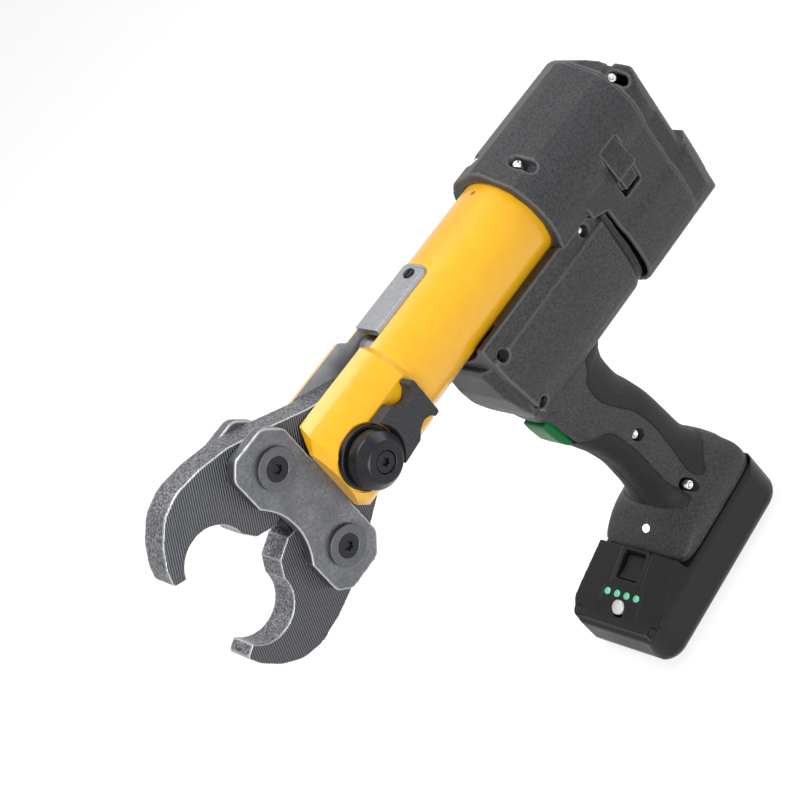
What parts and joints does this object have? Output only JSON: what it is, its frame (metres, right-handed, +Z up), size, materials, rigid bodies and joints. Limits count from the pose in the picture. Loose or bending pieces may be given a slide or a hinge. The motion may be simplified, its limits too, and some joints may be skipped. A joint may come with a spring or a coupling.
{
  "type": "press tool",
  "caption": "Battery press tool with pistol grip, a turning hydraulic head and a pair of press tongs that close on a pipe fitting.",
  "frame": {"origin": "centre of the battery's flat bottom, which the tool stands on", "axes": "+X forward towards the jaws, +Y to the tool's left, +Z up; the cylinder's axis leans up 4 degrees towards the jaws"},
  "size_m": [0.3893, 0.0827, 0.3413],
  "materials": {
    "yellow_enamel": "gloss enamel over steel",
    "machined_steel": "turned and ground",
    "tong_steel": "forged, milled and phosphated",
    "black_steel": "black oxide",
    "black_plastic": "moulded, fine texture",
    "charcoal_plastic": "glass-filled, textured",
    "soft_grip": "overmoulded elastomer",
    "green_plastic": "moulded",
    "bush_plastic": "sliding polymer",
    "seal_rubber": "moulded",
    "winding_copper": "enamelled wire",
    "plated_steel": "zinc plated",
    "board": "solder mask",
    "lamp_clear": "clear",
    "lamp_green": "translucent",
    "white_plastic": "moulded",
    "cell_sleeve": "shrink sleeve over a can",
    "contact_brass": "stamped",
    "drive_alloy": "cast and machined"
  },
  "bodies": {
    "housing": {"housing_left": "charcoal_plastic", "housing_right": "charcoal_plastic", "hood": "charcoal_plastic", "rear_cover": "black_plastic", "front_cover": "black_plastic", "swivel_bush": "bush_plastic", "grip_inlay_left": "soft_grip", "grip_inlay_right": "soft_grip", "housing_screws": "plated_steel", "hood_screws": "plated_steel", "pump_block": "machined_steel", "gear_plate": "drive_alloy", "motor_stator": "machined_steel", "planet_case": "machined_steel", "motor_bearings": "machined_steel", "trigger_switch": "black_plastic", "control_board": "board", "work_lamp": "lamp_clear", "contact_block": "black_plastic"},
    "head": {"press_cylinder": "yellow_enamel", "slot_strip_top": "machined_steel", "slot_strip_bottom": "machined_steel", "strip_screws": "black_steel", "rod_guide": "machined_steel", "tong_plate_left": "tong_steel", "tong_plate_right": "tong_steel", "jaw_bolts": "tong_steel", "jaw_bolt_caps": "tong_steel", "jaw_bolt_screws": "black_steel", "tong_spring": "machined_steel", "return_spring": "machined_steel"},
    "jaw_upper": {"jaw_upper": "tong_steel"},
    "jaw_lower": {"jaw_lower": "tong_steel"},
    "pin": {"holding_pin": "black_steel", "pin_knob": "black_steel", "knob_screw": "black_steel"},
    "lock_lever": {"lock_lever": "black_plastic"},
    "piston": {"piston": "machined_steel", "piston_seal": "seal_rubber", "roller_carrier": "tong_steel", "roller_axles": "machined_steel"},
    "roller_upper": {"roller_upper": "machined_steel"},
    "roller_lower": {"roller_lower": "machined_steel"},
    "motor": {"motor_rotor": "winding_copper", "motor_fan": "black_plastic"},
    "pinion": {"drive_pinion": "machined_steel"},
    "wheel": {"gear_wheel": "machined_steel", "eccentric_shaft": "machined_steel"},
    "trigger": {"trigger": "green_plastic"},
    "reset_lever": {"reset_lever": "black_plastic"},
    "battery": {"battery_case": "black_plastic", "battery_lid": "black_plastic", "battery_cells": "cell_sleeve", "cell_holder": "bush_plastic", "battery_terminals": "contact_brass", "battery_screws": "black_steel", "charge_lamps": "lamp_green"},
    "release_button": {"release_button": "black_plastic"},
    "check_button": {"check_button": "white_plastic"}
  },
  "joints": [
    {"name": "head_turn", "type": "hinge", "parent": "housing", "child": "head", "pos_m": [-0.06589, 0, 0.26134], "axis": [0.9976, 0, 0.0698], "continuous": true},
    {"name": "piston_slide", "type": "slide", "parent": "head", "child": "piston", "axis": [0.9976, 0, 0.0698], "range_m": [0, 0.034], "stiffness_N_per_m": 900, "deforming": ["return_spring"]},
    {"name": "jaw_upper_swing", "type": "hinge", "parent": "head", "child": "jaw_upper", "pos_m": [0.1373, 0, 0.30733], "axis": [0, 1, 0], "range_deg": [0, 23.5]},
    {"name": "jaw_lower_swing", "type": "hinge", "parent": "head", "child": "jaw_lower", "pos_m": [0.14172, 0, 0.24408], "axis": [0, -1, 0], "range_deg": [0, 23.5]},
    {"name": "roller_upper_spin", "type": "hinge", "parent": "piston", "child": "roller_upper", "pos_m": [0.04705, 0, 0.28057], "axis": [0, 1, 0], "continuous": true},
    {"name": "roller_lower_spin", "type": "hinge", "parent": "piston", "child": "roller_lower", "pos_m": [0.04863, 0, 0.25802], "axis": [0, 1, 0], "continuous": true},
    {"name": "pin_pull", "type": "slide", "parent": "head", "child": "pin", "axis": [0, 1, 0], "range_m": [0, 0.046]},
    {"name": "lever_slide", "type": "slide", "parent": "head", "child": "lock_lever", "axis": [-0.9976, 0, -0.0698], "range_m": [0, 0.004], "stiffness_N_per_m": 1500},
    {"name": "motor_spin", "type": "hinge", "parent": "housing", "child": "motor", "pos_m": [-0.02236, 0, 0.21226], "axis": [0.9976, 0, 0.0698], "continuous": true},
    {"name": "pinion_spin", "type": "hinge", "parent": "housing", "child": "pinion", "pos_m": [-0.12211, 0, 0.20528], "axis": [0.9976, 0, 0.0698], "continuous": true},
    {"name": "wheel_spin", "type": "hinge", "parent": "housing", "child": "wheel", "pos_m": [-0.14908, 0, 0.23262], "axis": [0.9976, 0, 0.0698], "continuous": true},
    {"name": "trigger_pull", "type": "hinge", "parent": "housing", "child": "trigger", "pos_m": [0.0055, 0, 0.172], "axis": [0, 1, 0], "range_deg": [0, 8], "stiffness_Nm_per_rad": 0.6},
    {"name": "reset_push", "type": "slide", "parent": "housing", "child": "reset_lever", "axis": [0.0698, 0, -0.9976], "range_m": [0, 0.005], "stiffness_N_per_m": 800},
    {"name": "battery_slide", "type": "slide", "parent": "housing", "child": "battery", "axis": [1, 0, 0], "range_m": [0, 0.095]},
    {"name": "battery_release", "type": "slide", "parent": "battery", "child": "release_button", "axis": [0, 0, -1], "range_m": [0, 0.0025], "stiffness_N_per_m": 1200},
    {"name": "check_press", "type": "slide", "parent": "battery", "child": "check_button", "axis": [0, 0, -1], "range_m": [0, 0.0008], "stiffness_N_per_m": 1500}
  ],
  "couplings": [
    {"joint": "jaw_upper_swing", "follows": "piston_slide", "rad_per_m": 12.06},
    {"joint": "jaw_lower_swing", "follows": "piston_slide", "rad_per_m": 12.06},
    {"joint": "pinion_spin", "follows": "motor_spin", "ratio": 0.25},
    {"joint": "wheel_spin", "follows": "motor_spin", "ratio": -0.079545}
  ]
}
